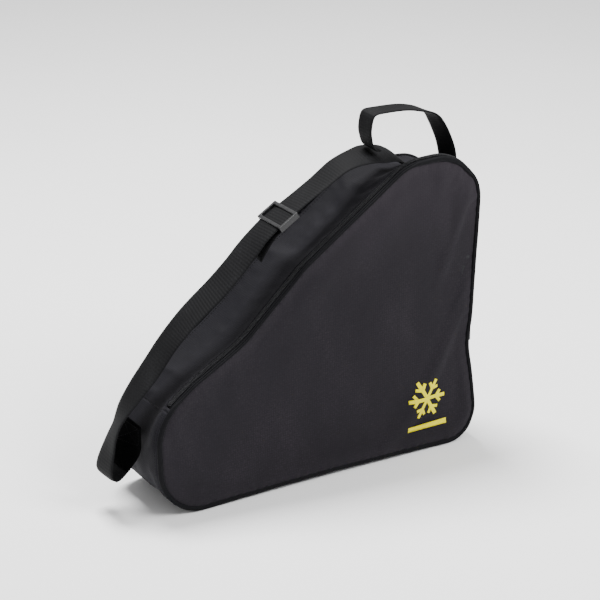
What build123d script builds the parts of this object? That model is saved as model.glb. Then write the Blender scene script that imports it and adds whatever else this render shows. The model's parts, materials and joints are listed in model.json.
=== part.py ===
from build123d import *
import math
import os

# Skate bag for a pair of ice skates. Millimetres.
# +X runs from the toe to the heel, the front panel is at -Y, +Z is up.
# The origin is the middle of the flat base, on the floor.

# ---- driving dimensions -------------------------------------------------
LENGTH = 405.0              # front panel, toe to heel
HEIGHT = 338.0              # front panel, floor to top edge
HALF_WIDTH = 53.5           # half of the gusset's width at the floor
LEAN_DEG = 2.0              # both panels lean inward towards the top
TOE_X = -200.0              # the toe's vertical edge

PANEL_T = 3.0               # padded panel cloth
GUSSET_T = 2.5              # gusset cloth
PIPING_D = 4.5              # piping, across the gusset
PIPING_H = 5.0              # piping, in the plane of the panel
GAP = 0.3                   # clearance between neighbouring soft pieces

FOLD_Z = 119.0              # height of the fold that the front panel opens about
FOLD_GAP = 1.0              # half of the clearance at the fold
HEEL_SEAM_Z = 78.0          # cross seam of the gusset at the heel
TOE_SEAM_Z = FOLD_Z         # cross seam of the gusset at the toe

TAPE_W = 2.0                # zip tape beside the coil
TAPE_T = 1.0
COIL_W = 1.8                # one half of the zip coil
COIL_T = 3.0
COIL_GAP = 0.8              # room for the zip slider's wedge
BINDING_W = 9.0             # seam binding inside the bag
BINDING_T = 1.0

STRAP_W = 38.0              # shoulder strap webbing
STRAP_T = 1.8
HANDLE_W = 25.0             # handle webbing
HANDLE_T = 2.2

HEEL_X = TOE_X + LENGTH
REACH = 320.0               # longer than the bag, for cutting tools
MIRROR_Y = -1.0

# ---- outline of a panel, from the toe's bottom corner clockwise ----------
# Each corner is (x, z, rounding radius).
CORNERS = [
    (TOE_X, 0.0, 55.0),
    (TOE_X - 1.0, 110.0, 60.0),
    (TOE_X + 45.0, 143.5, 60.0),
    (TOE_X + 105.0, 176.5, 120.0),
    (TOE_X + 180.0, 244.0, 100.0),
    (TOE_X + 314.0, 335.0, 60.0),
    (TOE_X + 409.0, HEIGHT, 55.0),
    (TOE_X + 392.0, 118.0, 150.0),
    (HEEL_X, 0.0, 38.0),
]


# The back panel and the middle of the gusset have slumped, so their top is lower.
BACK_CORNERS = [
    (TOE_X, 0.0, 55.0),
    (TOE_X - 1.0, 110.0, 60.0),
    (TOE_X + 45.0, 142.5, 60.0),
    (TOE_X + 105.0, 175.0, 120.0),
    (TOE_X + 180.0, 240.0, 100.0),
    (TOE_X + 290.0, 314.0, 60.0),
    (TOE_X + 405.0, 313.5, 50.0),
    (TOE_X + 392.0, 118.0, 150.0),
    (HEEL_X, 0.0, 38.0),
]


def outline(inset, corners=CORNERS):
    """A panel's outline as a face in the XZ plane, moved inward by inset."""
    with BuildSketch(Plane.XZ) as face:
        with BuildLine():
            FilletPolyline(
                *[(x, z) for x, z, r in corners],
                radius=[r for x, z, r in corners],
                close=True,
            )
        make_face()
        if inset:
            offset(amount=-inset, kind=Kind.ARC)
    return face.sketch


def near_y(z):
    """Y of the front panel's outer face at height z."""
    return -HALF_WIDTH + z * math.tan(math.radians(LEAN_DEG))


def band(depth_a, depth_b, z_a, z_b, side=1.0):
    """A strip of the YZ plane between two depths behind a panel's outer face.

    side is 1 for the front panel and -1 for the back panel.
    """
    corners = [
        (side * (near_y(z_a) + depth_a), z_a),
        (side * (near_y(z_a) + depth_b), z_a),
        (side * (near_y(z_b) + depth_b), z_b),
        (side * (near_y(z_b) + depth_a), z_b),
    ]
    with BuildSketch(Plane.YZ) as strip:
        with BuildLine():
            Polyline(*corners, close=True)
        make_face()
    return strip.sketch


def full_band(depth, z_a, z_b):
    """The YZ strip of the whole gusset, less the same depth at both panels."""
    corners = [
        (near_y(z_a) + depth, z_a),
        (-near_y(z_a) - depth, z_a),
        (-near_y(z_b) - depth, z_b),
        (near_y(z_b) + depth, z_b),
    ]
    with BuildSketch(Plane.YZ) as strip:
        with BuildLine():
            Polyline(*corners, close=True)
        make_face()
    return strip.sketch


# Depths behind the front panel's outer face
SEAM_DEPTH = PIPING_D + GAP
FLAP_COIL_A = SEAM_DEPTH + TAPE_W
FLAP_COIL_B = FLAP_COIL_A + COIL_W
ROOT_COIL_A = FLAP_COIL_B + COIL_GAP
ROOT_COIL_B = ROOT_COIL_A + COIL_W
ROOT_TAPE_B = ROOT_COIL_B + TAPE_W
ZIP_DEPTH = ROOT_TAPE_B + GAP
LOW_Z = -5.0
HIGH_Z = HEIGHT + 20.0
FLAP_Z = FOLD_Z + FOLD_GAP
LOWER_TOP_Z = FOLD_Z - FOLD_GAP
ZIP_Z = FOLD_Z + 3.0
COIL_Z = FOLD_Z + 11.0
PANEL_INSET = PIPING_H + GAP

# ---- panels --------------------------------------------------------------
with BuildPart() as back_panel:
    extrude(outline(PANEL_INSET, BACK_CORNERS), amount=REACH, both=True)
    extrude(band(0.0, PANEL_T, LOW_Z, HIGH_Z, MIRROR_Y), amount=REACH, both=True, mode=Mode.INTERSECT)
back_panel.part.label = "back_panel"

with BuildPart() as front_panel_lower:
    extrude(outline(PANEL_INSET), amount=REACH, both=True)
    extrude(band(0.0, PANEL_T, LOW_Z, LOWER_TOP_Z), amount=REACH, both=True, mode=Mode.INTERSECT)
front_panel_lower.part.label = "front_panel_lower"

with BuildPart() as front_panel_upper:
    extrude(outline(PANEL_INSET), amount=REACH, both=True)
    extrude(band(0.0, PANEL_T, FLAP_Z, HIGH_Z), amount=REACH, both=True, mode=Mode.INTERSECT)
front_panel_upper.part.label = "front_panel_upper"

# ---- piping around the panels ---------------------------------------------
PIPING_RING = outline(0.0) - outline(PIPING_H)
BACK_PIPING_RING = outline(0.0, BACK_CORNERS) - outline(PIPING_H, BACK_CORNERS)

with BuildPart() as back_piping:
    extrude(BACK_PIPING_RING, amount=REACH, both=True)
    extrude(band(0.0, PIPING_D, LOW_Z, HIGH_Z, MIRROR_Y), amount=REACH, both=True, mode=Mode.INTERSECT)
back_piping.part.label = "back_piping"

with BuildPart() as front_piping_lower:
    extrude(PIPING_RING, amount=REACH, both=True)
    extrude(band(0.0, PIPING_D, LOW_Z, LOWER_TOP_Z), amount=REACH, both=True, mode=Mode.INTERSECT)
front_piping_lower.part.label = "front_piping_lower"

with BuildPart() as front_piping_upper:
    extrude(PIPING_RING, amount=REACH, both=True)
    extrude(band(0.0, PIPING_D, FLAP_Z, HIGH_Z), amount=REACH, both=True, mode=Mode.INTERSECT)
front_piping_upper.part.label = "front_piping_upper"

# ---- gusset ----------------------------------------------------------------
# The lower band runs from the toe's cross seam, under the base, to the heel's.
# The upper band runs over the slope and the top. It starts behind the zip, where
# it drops from the front panel's outline to the slumped one.
GUSSET_RING = outline(0.0) - outline(GUSSET_T)
SLUMPED_RING = outline(0.0, BACK_CORNERS) - outline(GUSSET_T, BACK_CORNERS)
DROP = outline(0.0) - outline(GUSSET_T, BACK_CORNERS)
DROP_DEPTH = ZIP_DEPTH + GUSSET_T
SEAM_HALF = 0.2


def upper_profile():
    """The YZ outline of the upper gusset, stepped back where the zip begins."""
    low = HEEL_SEAM_Z + SEAM_HALF
    step = ZIP_Z - GAP
    with BuildSketch(Plane.YZ) as profile:
        with BuildLine():
            Polyline(
                (near_y(low) + SEAM_DEPTH, low),
                (near_y(step) + SEAM_DEPTH, step),
                (near_y(step) + ZIP_DEPTH, step),
                (near_y(HIGH_Z) + ZIP_DEPTH, HIGH_Z),
                (-near_y(HIGH_Z) - SEAM_DEPTH, HIGH_Z),
                (-near_y(low) - SEAM_DEPTH, low),
                close=True,
            )
        make_face()
    return profile.sketch


with BuildPart() as base_gusset:
    extrude(GUSSET_RING, amount=REACH, both=True)
    extrude(
        full_band(SEAM_DEPTH, LOW_Z, TOE_SEAM_Z - SEAM_HALF),
        amount=REACH,
        both=True,
        mode=Mode.INTERSECT,
    )
    with BuildSketch(Plane.XZ):
        with Locations((HEEL_X, HEEL_SEAM_Z - SEAM_HALF)):
            Rectangle(HEEL_X, HEIGHT, align=(Align.CENTER, Align.MIN))
    extrude(amount=REACH, both=True, mode=Mode.SUBTRACT)
base_gusset.part.label = "base_gusset"

with BuildPart() as upper_gusset:
    extrude(DROP, amount=REACH, both=True)
    extrude(band(ZIP_DEPTH, DROP_DEPTH, ZIP_Z, HIGH_Z), amount=REACH, both=True, mode=Mode.INTERSECT)
    extrude(SLUMPED_RING, amount=REACH, both=True)
    extrude(upper_profile(), amount=REACH, both=True, mode=Mode.INTERSECT)
    with BuildSketch(Plane.XZ):
        with Locations((TOE_X, TOE_SEAM_Z + SEAM_HALF)):
            Rectangle(LENGTH, HEIGHT, align=(Align.CENTER, Align.MAX))
    extrude(amount=REACH, both=True, mode=Mode.SUBTRACT)
upper_gusset.part.label = "upper_gusset"

# ---- bindings over the seam allowances, inside the bag ----------------------
BINDING_RING = outline(PANEL_INSET) - outline(PANEL_INSET + BINDING_W)
BACK_BINDING_RING = outline(PANEL_INSET, BACK_CORNERS) - outline(PANEL_INSET + BINDING_W, BACK_CORNERS)
BINDING_A = PANEL_T
BINDING_B = PANEL_T + BINDING_T

with BuildPart() as back_binding:
    extrude(BACK_BINDING_RING, amount=REACH, both=True)
    extrude(
        band(BINDING_A, BINDING_B, LOW_Z, HIGH_Z, MIRROR_Y),
        amount=REACH,
        both=True,
        mode=Mode.INTERSECT,
    )
back_binding.part.label = "back_binding"

with BuildPart() as front_binding_lower:
    extrude(BINDING_RING, amount=REACH, both=True)
    extrude(band(BINDING_A, BINDING_B, LOW_Z, LOWER_TOP_Z), amount=REACH, both=True, mode=Mode.INTERSECT)
front_binding_lower.part.label = "front_binding_lower"

with BuildPart() as front_binding_upper:
    extrude(BINDING_RING, amount=REACH, both=True)
    extrude(band(BINDING_A, BINDING_B, FLAP_Z, HIGH_Z), amount=REACH, both=True, mode=Mode.INTERSECT)
front_binding_upper.part.label = "front_binding_upper"

# ---- zip -------------------------------------------------------------------
TAPE_INSET = 0.5
TAPE_RING = outline(TAPE_INSET) - outline(TAPE_INSET + TAPE_T)
COIL_OUT = 0.5
COIL_RING = outline(-COIL_OUT) - outline(COIL_T - COIL_OUT)

with BuildPart() as zip_tape_flap:
    extrude(TAPE_RING, amount=REACH, both=True)
    extrude(band(SEAM_DEPTH, FLAP_COIL_A, ZIP_Z, HIGH_Z), amount=REACH, both=True, mode=Mode.INTERSECT)
zip_tape_flap.part.label = "zip_tape_flap"

with BuildPart() as zip_tape_gusset:
    extrude(TAPE_RING, amount=REACH, both=True)
    extrude(band(ROOT_COIL_B, ROOT_TAPE_B, ZIP_Z, HIGH_Z), amount=REACH, both=True, mode=Mode.INTERSECT)
zip_tape_gusset.part.label = "zip_tape_gusset"

with BuildPart() as zip_coil_flap:
    extrude(COIL_RING, amount=REACH, both=True)
    extrude(band(FLAP_COIL_A, FLAP_COIL_B, COIL_Z, HIGH_Z), amount=REACH, both=True, mode=Mode.INTERSECT)
zip_coil_flap.part.label = "zip_coil_flap"

with BuildPart() as zip_coil_gusset:
    extrude(COIL_RING, amount=REACH, both=True)
    extrude(band(ROOT_COIL_A, ROOT_COIL_B, COIL_Z, HIGH_Z), amount=REACH, both=True, mode=Mode.INTERSECT)
zip_coil_gusset.part.label = "zip_coil_gusset"

STOP_L = 4.0
STOP_CLEAR = 0.5
STOP_RING = outline(-1.0) - outline(COIL_T)

with BuildPart() as zip_stops:
    extrude(STOP_RING, amount=REACH, both=True)
    extrude(
        band(ROOT_COIL_A, ROOT_COIL_B, COIL_Z - STOP_CLEAR - STOP_L, COIL_Z - STOP_CLEAR),
        amount=REACH,
        both=True,
        mode=Mode.INTERSECT,
    )
zip_stops.part.label = "zip_stops"

# The slider is parked at the heel end of the closed zip. The heel edge is
# straight from just above the fold to the heel's top corner.
HEEL_LOW = Vector(CORNERS[-2][0], 0.0, CORNERS[-2][1])
HEEL_HIGH = Vector(CORNERS[-3][0], 0.0, CORNERS[-3][1])
HEEL_DIR = (HEEL_HIGH - HEEL_LOW).normalized()
HEEL_OUT = Vector(HEEL_DIR.Z, 0.0, -HEEL_DIR.X)
SLIDER_Z = COIL_Z + 9.0
SLIDER_L = 11.0
SLIDER_W = 7.0
PLATE_T = 1.4
PLATE_CLEAR = 0.5
WEDGE_T = 0.4

slider_step = (SLIDER_Z - HEEL_LOW.Z) / HEEL_DIR.Z
slider_mid_y = near_y(SLIDER_Z) + (FLAP_COIL_B + ROOT_COIL_A) / 2
slider_origin = HEEL_LOW + HEEL_DIR * slider_step + Vector(0.0, slider_mid_y, 0.0)
# The zip follows the leaning panel, so the slider travels along this direction.
ZIP_DIR = Vector(HEEL_DIR.X, HEEL_DIR.Z * math.tan(math.radians(LEAN_DEG)), HEEL_DIR.Z).normalized()
# In this plane x is outward from the heel edge, y is along the zip and z is across the gusset.
slider_plane = Plane(origin=slider_origin, x_dir=HEEL_OUT, z_dir=HEEL_OUT.cross(ZIP_DIR))
PLATE_X = COIL_OUT + PLATE_CLEAR
PLATE_IN_X = COIL_OUT - COIL_T - PLATE_CLEAR
WEDGE_L = SLIDER_L / 3
BRIDGE_L = 9.0
BRIDGE_T = 1.2
BRIDGE_W = 1.6
PIVOT_GAP = 1.3             # from the pull's pivot to the plate and to the bridge
PIVOT_X = PLATE_X + PLATE_T + PIVOT_GAP
BRIDGE_X = PIVOT_X + PIVOT_GAP

with BuildPart() as zip_slider:
    with BuildSketch(slider_plane):
        with Locations((PLATE_X, 0.0)):
            Rectangle(PLATE_T, SLIDER_L, align=(Align.MIN, Align.CENTER))
        with Locations((PLATE_IN_X, 0.0)):
            Rectangle(PLATE_T, SLIDER_L, align=(Align.MAX, Align.CENTER))
    extrude(amount=SLIDER_W / 2, both=True)
    with BuildSketch(slider_plane):
        with Locations((PLATE_IN_X, -WEDGE_L)):
            Rectangle(PLATE_X - PLATE_IN_X, WEDGE_L, align=(Align.MIN, Align.CENTER))
    extrude(amount=WEDGE_T / 2, both=True)
    with BuildSketch(slider_plane):
        with Locations((BRIDGE_X, 0.0)):
            Rectangle(BRIDGE_T, BRIDGE_L, align=(Align.MIN, Align.CENTER))
        for end in (-1, 1):
            with Locations((PLATE_X + PLATE_T, end * (BRIDGE_L - BRIDGE_T) / 2)):
                Rectangle(BRIDGE_X - PLATE_X, BRIDGE_T, align=(Align.MIN, Align.CENTER))
    extrude(amount=BRIDGE_W / 2, both=True)
zip_slider.part.label = "zip_slider"

# The pull hangs straight down. Its eye goes round the slider's bridge.
PULL_L = 24.0
PULL_W = 6.0
PULL_T = 1.4
PULL_R = 0.6
PULL_EYE_W = 2.8
PULL_EYE_H = 5.8
PULL_BAR = 0.7              # half of the eye's top bar

pull_origin = slider_plane.from_local_coords((PIVOT_X, 0.0, 0.0))
pull_plane = Plane(origin=pull_origin, x_dir=(0.0, 1.0, 0.0), z_dir=(1.0, 0.0, 0.0))

with BuildPart() as zip_pull:
    with BuildSketch(pull_plane):
        with Locations((0.0, PULL_BAR - PULL_L / 2)):
            RectangleRounded(PULL_W, PULL_L, PULL_R)
        with Locations((0.0, -PULL_BAR)):
            Rectangle(PULL_EYE_W, PULL_EYE_H, align=(Align.CENTER, Align.MAX), mode=Mode.SUBTRACT)
    extrude(amount=PULL_T / 2, both=True)
zip_pull.part.label = "zip_pull"

# ---- shoulder strap -----------------------------------------------------------
# The free part runs from a hump above the slope's top to a fold beside the toe.
# Route points are the middle of the webbing, as (x, z, rounding radius).
STRAP_ROUTE = [
    (TOE_X + 271.0, 339.6, 0.0),
    (TOE_X + 250.0, 336.0, 60.0),
    (TOE_X + 150.0, 274.0, 100.0),
    (TOE_X + 119.0, 241.0, 150.0),
    (TOE_X + 45.0, 181.0, 150.0),
    (TOE_X, 130.0, 100.0),
    (TOE_X - 26.0, 92.0, 80.0),
    (TOE_X - 38.5, 40.0, 4.0),
    (TOE_X - 17.0, 52.0, 0.0),
]
TOP_END_ROUTE = [
    (TOE_X + 273.5, 340.0, 0.0),
    (TOE_X + 288.0, 343.4, 40.0),
    (TOE_X + 318.0, 340.5, 16.0),
    (TOE_X + 338.0, 315.8, 14.0),
    (TOE_X + 360.0, 315.8, 0.0),
]
TOE_END_ROUTE = [
    (TOE_X - 14.5, 54.5, 0.0),
    (TOE_X - 3.0, 66.0, 14.0),
    (TOE_X - 2.0, 96.0, 0.0),
]


def strap_line(points):
    """A rounded line in the XZ plane through (x, z, radius) points."""
    with BuildLine() as route:
        FilletPolyline(*[(x, z) for x, z, r in points], radius=[r for x, z, r in points[1:-1]])
    return route.line


with BuildPart() as shoulder_strap:
    with BuildSketch(Plane.XZ):
        trace(strap_line(STRAP_ROUTE), line_width=STRAP_T)
    extrude(amount=STRAP_W / 2, both=True)
shoulder_strap.part.label = "shoulder_strap"

with BuildPart() as strap_end_top:
    with BuildSketch(Plane.XZ):
        trace(strap_line(TOP_END_ROUTE), line_width=STRAP_T)
    extrude(amount=STRAP_W / 2, both=True)
strap_end_top.part.label = "strap_end_top"

with BuildPart() as strap_end_toe:
    with BuildSketch(Plane.XZ):
        trace(strap_line(TOE_END_ROUTE), line_width=STRAP_T)
    extrude(amount=STRAP_W / 2, both=True)
strap_end_toe.part.label = "strap_end_toe"

# The slider lies on the straight stretch between the first two bends.
GLIDE_A = Vector(STRAP_ROUTE[1][0], 0.0, STRAP_ROUTE[1][1])
GLIDE_B = Vector(STRAP_ROUTE[2][0], 0.0, STRAP_ROUTE[2][1])
GLIDE_DIR = (GLIDE_B - GLIDE_A).normalized()
GLIDE_AT = 88.0
GLIDE_L = 26.0
GLIDE_BAR = 4.0
RAIL_W = 3.0
RAIL_CLEAR = 0.8
LAYER_CLEAR = 0.4
BAR_T = 2.0

glide_plane = Plane(
    origin=GLIDE_A + GLIDE_DIR * GLIDE_AT,
    x_dir=GLIDE_DIR,
    z_dir=Vector(GLIDE_DIR.Z, 0.0, -GLIDE_DIR.X),
)
OVER_Z = STRAP_T / 2 + LAYER_CLEAR
RAIL_Y = STRAP_W / 2 + RAIL_CLEAR + RAIL_W / 2

with BuildPart() as tri_glide:
    with BuildSketch(glide_plane.offset(OVER_Z)):
        with Locations((GLIDE_L / 2 - GLIDE_BAR / 2, 0.0), (GLIDE_BAR / 2 - GLIDE_L / 2, 0.0)):
            Rectangle(GLIDE_BAR, 2 * RAIL_Y + RAIL_W)
    extrude(amount=BAR_T)
    with BuildSketch(glide_plane.offset(-OVER_Z - BAR_T)):
        Rectangle(GLIDE_BAR, 2 * RAIL_Y + RAIL_W)
    extrude(amount=BAR_T)
    with BuildSketch(glide_plane.offset(-OVER_Z - BAR_T)):
        with Locations((0.0, RAIL_Y), (0.0, -RAIL_Y)):
            Rectangle(GLIDE_L, RAIL_W)
    extrude(amount=2 * (OVER_Z + BAR_T))
tri_glide.part.label = "tri_glide"

# The webbing's spare end lies under the strap, from the slider towards the toe.
TAIL_L = 62.0
TAIL_BACK = 14.0            # how far the tail starts above the slider's middle
TAIL_FLAT = 12.0            # how far it stays flat below the middle
TAIL_DIP = 10.0             # how far its end hangs below the flat part
TAIL_DROP = OVER_Z + BAR_T + LAYER_CLEAR + STRAP_T / 2
TAIL_BEND_R = 60.0
tail_top = glide_plane.from_local_coords((-TAIL_BACK, 0.0, -TAIL_DROP))
tail_mid = glide_plane.from_local_coords((TAIL_FLAT, 0.0, -TAIL_DROP))
tail_end = glide_plane.from_local_coords((TAIL_L - TAIL_BACK, 0.0, -TAIL_DROP - TAIL_DIP))

with BuildPart() as strap_tail:
    with BuildSketch(Plane.XZ):
        trace(
            strap_line([
                (tail_top.X, tail_top.Z, 0.0),
                (tail_mid.X, tail_mid.Z, TAIL_BEND_R),
                (tail_end.X, tail_end.Z, 0.0),
            ]),
            line_width=STRAP_T,
        )
    extrude(amount=STRAP_W / 2, both=True)
strap_tail.part.label = "strap_tail"

# ---- carry handle ----------------------------------------------------------------
# The handle leans to either side about the line through its two sewn feet.
HANDLE_FRONT = (TOE_X + 286.0, 352.3)
HANDLE_REAR = (TOE_X + 390.0, 318.0)
HANDLE_ROUTE = [
    (TOE_X + 286.5, 344.0, 0.0),
    (TOE_X + 283.0, 366.0, 30.0),
    (TOE_X + 287.0, 386.5, 8.0),
    (TOE_X + 330.0, 387.0, 90.0),
    (TOE_X + 366.0, 377.0, 25.0),
    (TOE_X + 388.0, 341.0, 30.0),
    (TOE_X + 390.5, 314.0, 0.0),
]
FOOT_ANGLE_DEG = 28.0       # slope of a foot's pointed top, and of the leg's end above it
FOOT_CLEAR = 0.6
FOOT_T = 1.6
FOOT_PAD_L = 14.0
FOOT_PAD_Z = 344.7
FOOT_RISE = HANDLE_W / 2 * math.tan(math.radians(FOOT_ANGLE_DEG))


def leg_gap(x, z):
    """The space under a leg's pointed end, above its pivot at (x, z)."""
    with BuildSketch(Plane.YZ.offset(x)) as gap:
        with BuildLine():
            Polyline(
                (-HANDLE_W / 2, z - HANDLE_W),
                (HANDLE_W / 2, z - HANDLE_W),
                (HANDLE_W / 2, z + FOOT_CLEAR + FOOT_RISE),
                (0.0, z + FOOT_CLEAR),
                (-HANDLE_W / 2, z + FOOT_CLEAR + FOOT_RISE),
                close=True,
            )
        make_face()
    return gap.sketch


def foot_tab(x, z, base_z):
    """The pointed tab of a foot, from base_z up to its pivot at (x, z)."""
    with BuildSketch(Plane.YZ.offset(x)) as tab:
        with BuildLine():
            Polyline(
                (-HANDLE_W / 2, z - FOOT_CLEAR - FOOT_RISE),
                (0.0, z - FOOT_CLEAR),
                (HANDLE_W / 2, z - FOOT_CLEAR - FOOT_RISE),
                (HANDLE_W / 2, z - HANDLE_W),
                (-HANDLE_W / 2, z - HANDLE_W),
                close=True,
            )
        make_face()
        with Locations((0.0, base_z)):
            Rectangle(HANDLE_W, HANDLE_W, align=(Align.CENTER, Align.MIN), mode=Mode.INTERSECT)
    return tab.sketch


with BuildPart() as carry_handle:
    with BuildSketch(Plane.XZ):
        trace(strap_line(HANDLE_ROUTE), line_width=HANDLE_T)
    extrude(amount=HANDLE_W / 2, both=True)
    for leg in (HANDLE_FRONT, HANDLE_REAR):
        extrude(leg_gap(*leg), amount=HANDLE_W / 2, both=True, mode=Mode.SUBTRACT)
carry_handle.part.label = "carry_handle"

with BuildPart() as handle_foot_front:
    with BuildSketch(Plane.XY.offset(FOOT_PAD_Z)):
        with Locations((HANDLE_FRONT[0], 0.0)):
            Rectangle(FOOT_PAD_L, HANDLE_W)
    extrude(amount=FOOT_T / 2)
    extrude(foot_tab(*HANDLE_FRONT, FOOT_PAD_Z), amount=HANDLE_T / 2, both=True)
handle_foot_front.part.label = "handle_foot_front"

FOOT_LIFT = 0.1
FOOT_OUTER = outline(-FOOT_T - FOOT_LIFT, BACK_CORNERS)
FOOT_RING = FOOT_OUTER - outline(-FOOT_LIFT, BACK_CORNERS)
FOOT_REAR_BASE_Z = 298.0

with BuildPart() as handle_foot_rear:
    extrude(FOOT_RING, amount=HANDLE_W / 2, both=True)
    with BuildSketch(Plane.XZ):
        with Locations((HANDLE_REAR[0], FOOT_REAR_BASE_Z)):
            Rectangle(FOOT_PAD_L, 2 * FOOT_PAD_L)
    extrude(amount=REACH, both=True, mode=Mode.INTERSECT)
    extrude(foot_tab(*HANDLE_REAR, FOOT_REAR_BASE_Z), amount=HANDLE_T / 2, both=True)
handle_foot_rear.part.label = "handle_foot_rear"

# ---- printed emblem on the front panel ----------------------------------------------
EMBLEM_X = TOE_X + 335.0
EMBLEM_Z = 62.0
EMBLEM_R = 24.0
EMBLEM_ARM_W = 4.5
EMBLEM_T = 0.3
EMBLEM_ARMS = 3
BAR_W = 52.0
BAR_H = 6.0
BAR_Z = 30.0

with BuildPart() as emblem_print:
    with BuildSketch(Plane.XZ):
        for arm in range(EMBLEM_ARMS):
            turn = arm * 180.0 / EMBLEM_ARMS
            with Locations(Location((EMBLEM_X, EMBLEM_Z, 0.0), (0.0, 0.0, turn))):
                Rectangle(2 * EMBLEM_R, EMBLEM_ARM_W)
        with Locations((EMBLEM_X, BAR_Z)):
            Rectangle(BAR_W, BAR_H)
    extrude(amount=REACH, both=True)
    extrude(band(-EMBLEM_T, 0.0, LOW_Z, LOWER_TOP_Z), amount=REACH, both=True, mode=Mode.INTERSECT)
emblem_print.part.label = "emblem_print"

PIECES = [
    back_panel,
    back_piping,
    back_binding,
    front_panel_lower,
    front_piping_lower,
    front_binding_lower,
    front_panel_upper,
    front_piping_upper,
    front_binding_upper,
    base_gusset,
    upper_gusset,
    zip_tape_flap,
    zip_coil_flap,
    zip_tape_gusset,
    zip_coil_gusset,
    zip_stops,
    zip_slider,
    zip_pull,
    strap_end_top,
    strap_end_toe,
    shoulder_strap,
    strap_tail,
    tri_glide,
    handle_foot_front,
    handle_foot_rear,
    carry_handle,
    emblem_print,
]

os.makedirs("parts", exist_ok=True)
for piece in PIECES:
    export_step(piece.part, f"parts/{piece.part.label}.step")
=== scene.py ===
import json
import math

import bpy
import numpy as np
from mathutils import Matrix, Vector, noise
from mathutils.bvhtree import BVHTree
from mathutils.geometry import delaunay_2d_cdt


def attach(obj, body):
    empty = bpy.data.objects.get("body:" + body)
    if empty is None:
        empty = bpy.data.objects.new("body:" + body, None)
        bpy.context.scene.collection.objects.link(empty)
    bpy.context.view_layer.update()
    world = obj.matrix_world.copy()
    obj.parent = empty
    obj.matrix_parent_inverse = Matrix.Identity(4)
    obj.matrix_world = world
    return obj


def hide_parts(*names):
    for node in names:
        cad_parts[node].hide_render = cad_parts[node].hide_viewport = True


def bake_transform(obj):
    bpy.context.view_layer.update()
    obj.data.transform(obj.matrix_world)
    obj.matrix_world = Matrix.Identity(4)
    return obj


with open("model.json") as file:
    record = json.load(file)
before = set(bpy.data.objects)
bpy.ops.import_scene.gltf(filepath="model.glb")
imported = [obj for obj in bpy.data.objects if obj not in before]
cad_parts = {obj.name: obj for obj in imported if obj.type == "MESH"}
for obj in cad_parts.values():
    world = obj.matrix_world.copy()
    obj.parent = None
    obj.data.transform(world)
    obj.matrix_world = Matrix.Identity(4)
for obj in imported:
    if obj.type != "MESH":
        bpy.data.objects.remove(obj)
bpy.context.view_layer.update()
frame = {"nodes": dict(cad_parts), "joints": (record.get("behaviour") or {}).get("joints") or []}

# ---- camera ----
camera_data = bpy.data.cameras.new("camera")
camera_data.lens = 138.2
camera_data.sensor_width = 36.0
camera = bpy.data.objects.new("camera", camera_data)
bpy.context.collection.objects.link(camera)
camera.location = (-1.2033, -1.9590, 1.1029)
LOOK_AT = Vector((0.00184, 0.0, 0.18946))
camera.rotation_euler = (LOOK_AT - camera.location).to_track_quat("-Z", "Y").to_euler()
bpy.context.scene.camera = camera

# ---- measures of the bag, in millimetres ----
MM = 0.001
TOE_X = -200.0
HALF_WIDTH = 53.5
LEAN = math.tan(math.radians(2.0))
FOLD_Z = 119.0
HEEL_SEAM_Z = 78.0
STEP = 5.0                  # spacing of the shell's points
PIPING_R = 2.9
PIPING_IN = 2.5             # piping's middle, in from the outline
PIPING_DEEP = 2.5           # piping's middle, behind the panel's outer face
TAPE_A, TAPE_B = 3.6, 8.8   # zip tape beside and under the flap's coil
COIL_A, COIL_B = 7.7, 10.3  # middles of the two halves of the coil
TAPE_C, TAPE_D = 9.2, 14.4
COIL_PITCH = 1.55
WIRE_R = 0.36
ZIP_DEPTH = 13.5            # where the gusset meets the zip
ZIP_Z = 121.0               # the zip's lower ends
PANEL_STEP = 6.0            # spacing of the points inside a panel
PANEL_T = 2.6
GUSSET_T = 2.0
BINDING_IN = 9.8            # binding's middle, in from the outline
BINDING_DEEP = 4.6
SEAM_ROW = 8.2              # row of stitches, behind a panel's outer face

# Corners of the outlines: x from the toe, z, rounding radius.
FRONT_CORNERS = [
    (0, 0, 55), (-1, 110, 60), (45, 143.5, 60), (105, 176.5, 120), (180, 244, 100),
    (314, 335, 60), (409, 338, 55), (392, 118, 150), (405, 0, 38),
]
BACK_CORNERS = [
    (0, 0, 55), (3, 105, 60), (47, 139, 60), (106, 174, 120), (180, 243, 100),
    (287, 321.5, 60), (405, 314, 50), (392, 118, 150), (405, 0, 38),
]


# ---- small tools ----
def smooth(x, low, high):
    """0 below low, 1 above high, and a smooth step between them."""
    t = np.clip((np.asarray(x, float) - low) / (high - low), 0, 1)
    return t * t * (3 - 2 * t)


def unit(v):
    v = np.asarray(v, float)
    return v / np.maximum(np.linalg.norm(v, axis=-1, keepdims=True), 1e-9)


def lengths_along(points):
    """Distance of each point from the first one, along the line."""
    return np.concatenate([[0], np.cumsum(np.linalg.norm(np.diff(points, axis=0), axis=1))])


def near_y(z):
    """Y of the front panel's outer face at height z."""
    return -HALF_WIDTH + np.asarray(z, float) * LEAN


def ripple(points, size, seed=0.0):
    """Smooth noise from -1 to 1 at each point, with lumps of about the given size."""
    shift = Vector((seed, seed * 1.7, -seed))
    return np.array([noise.noise(Vector(p) / size + shift) for p in points])


def make_mesh(name, points, faces, coords=None):
    """A new object from points in millimetres. coords is the cloth's own map, in millimetres."""
    mesh = bpy.data.meshes.new(name)
    mesh.from_pydata((np.asarray(points, float) * MM).tolist(), [], [list(map(int, f)) for f in faces])
    if coords is not None:
        layer = mesh.attributes.new("cloth", "FLOAT_VECTOR", "POINT")
        flat = np.zeros((len(points), 3), np.float32)
        flat[:, : coords.shape[1]] = coords * MM
        layer.data.foreach_set("vector", flat.ravel())
    mesh.polygons.foreach_set("use_smooth", [True] * len(mesh.polygons))
    mesh.update()
    obj = bpy.data.objects.new(name, mesh)
    bpy.context.collection.objects.link(obj)
    return obj


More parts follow.
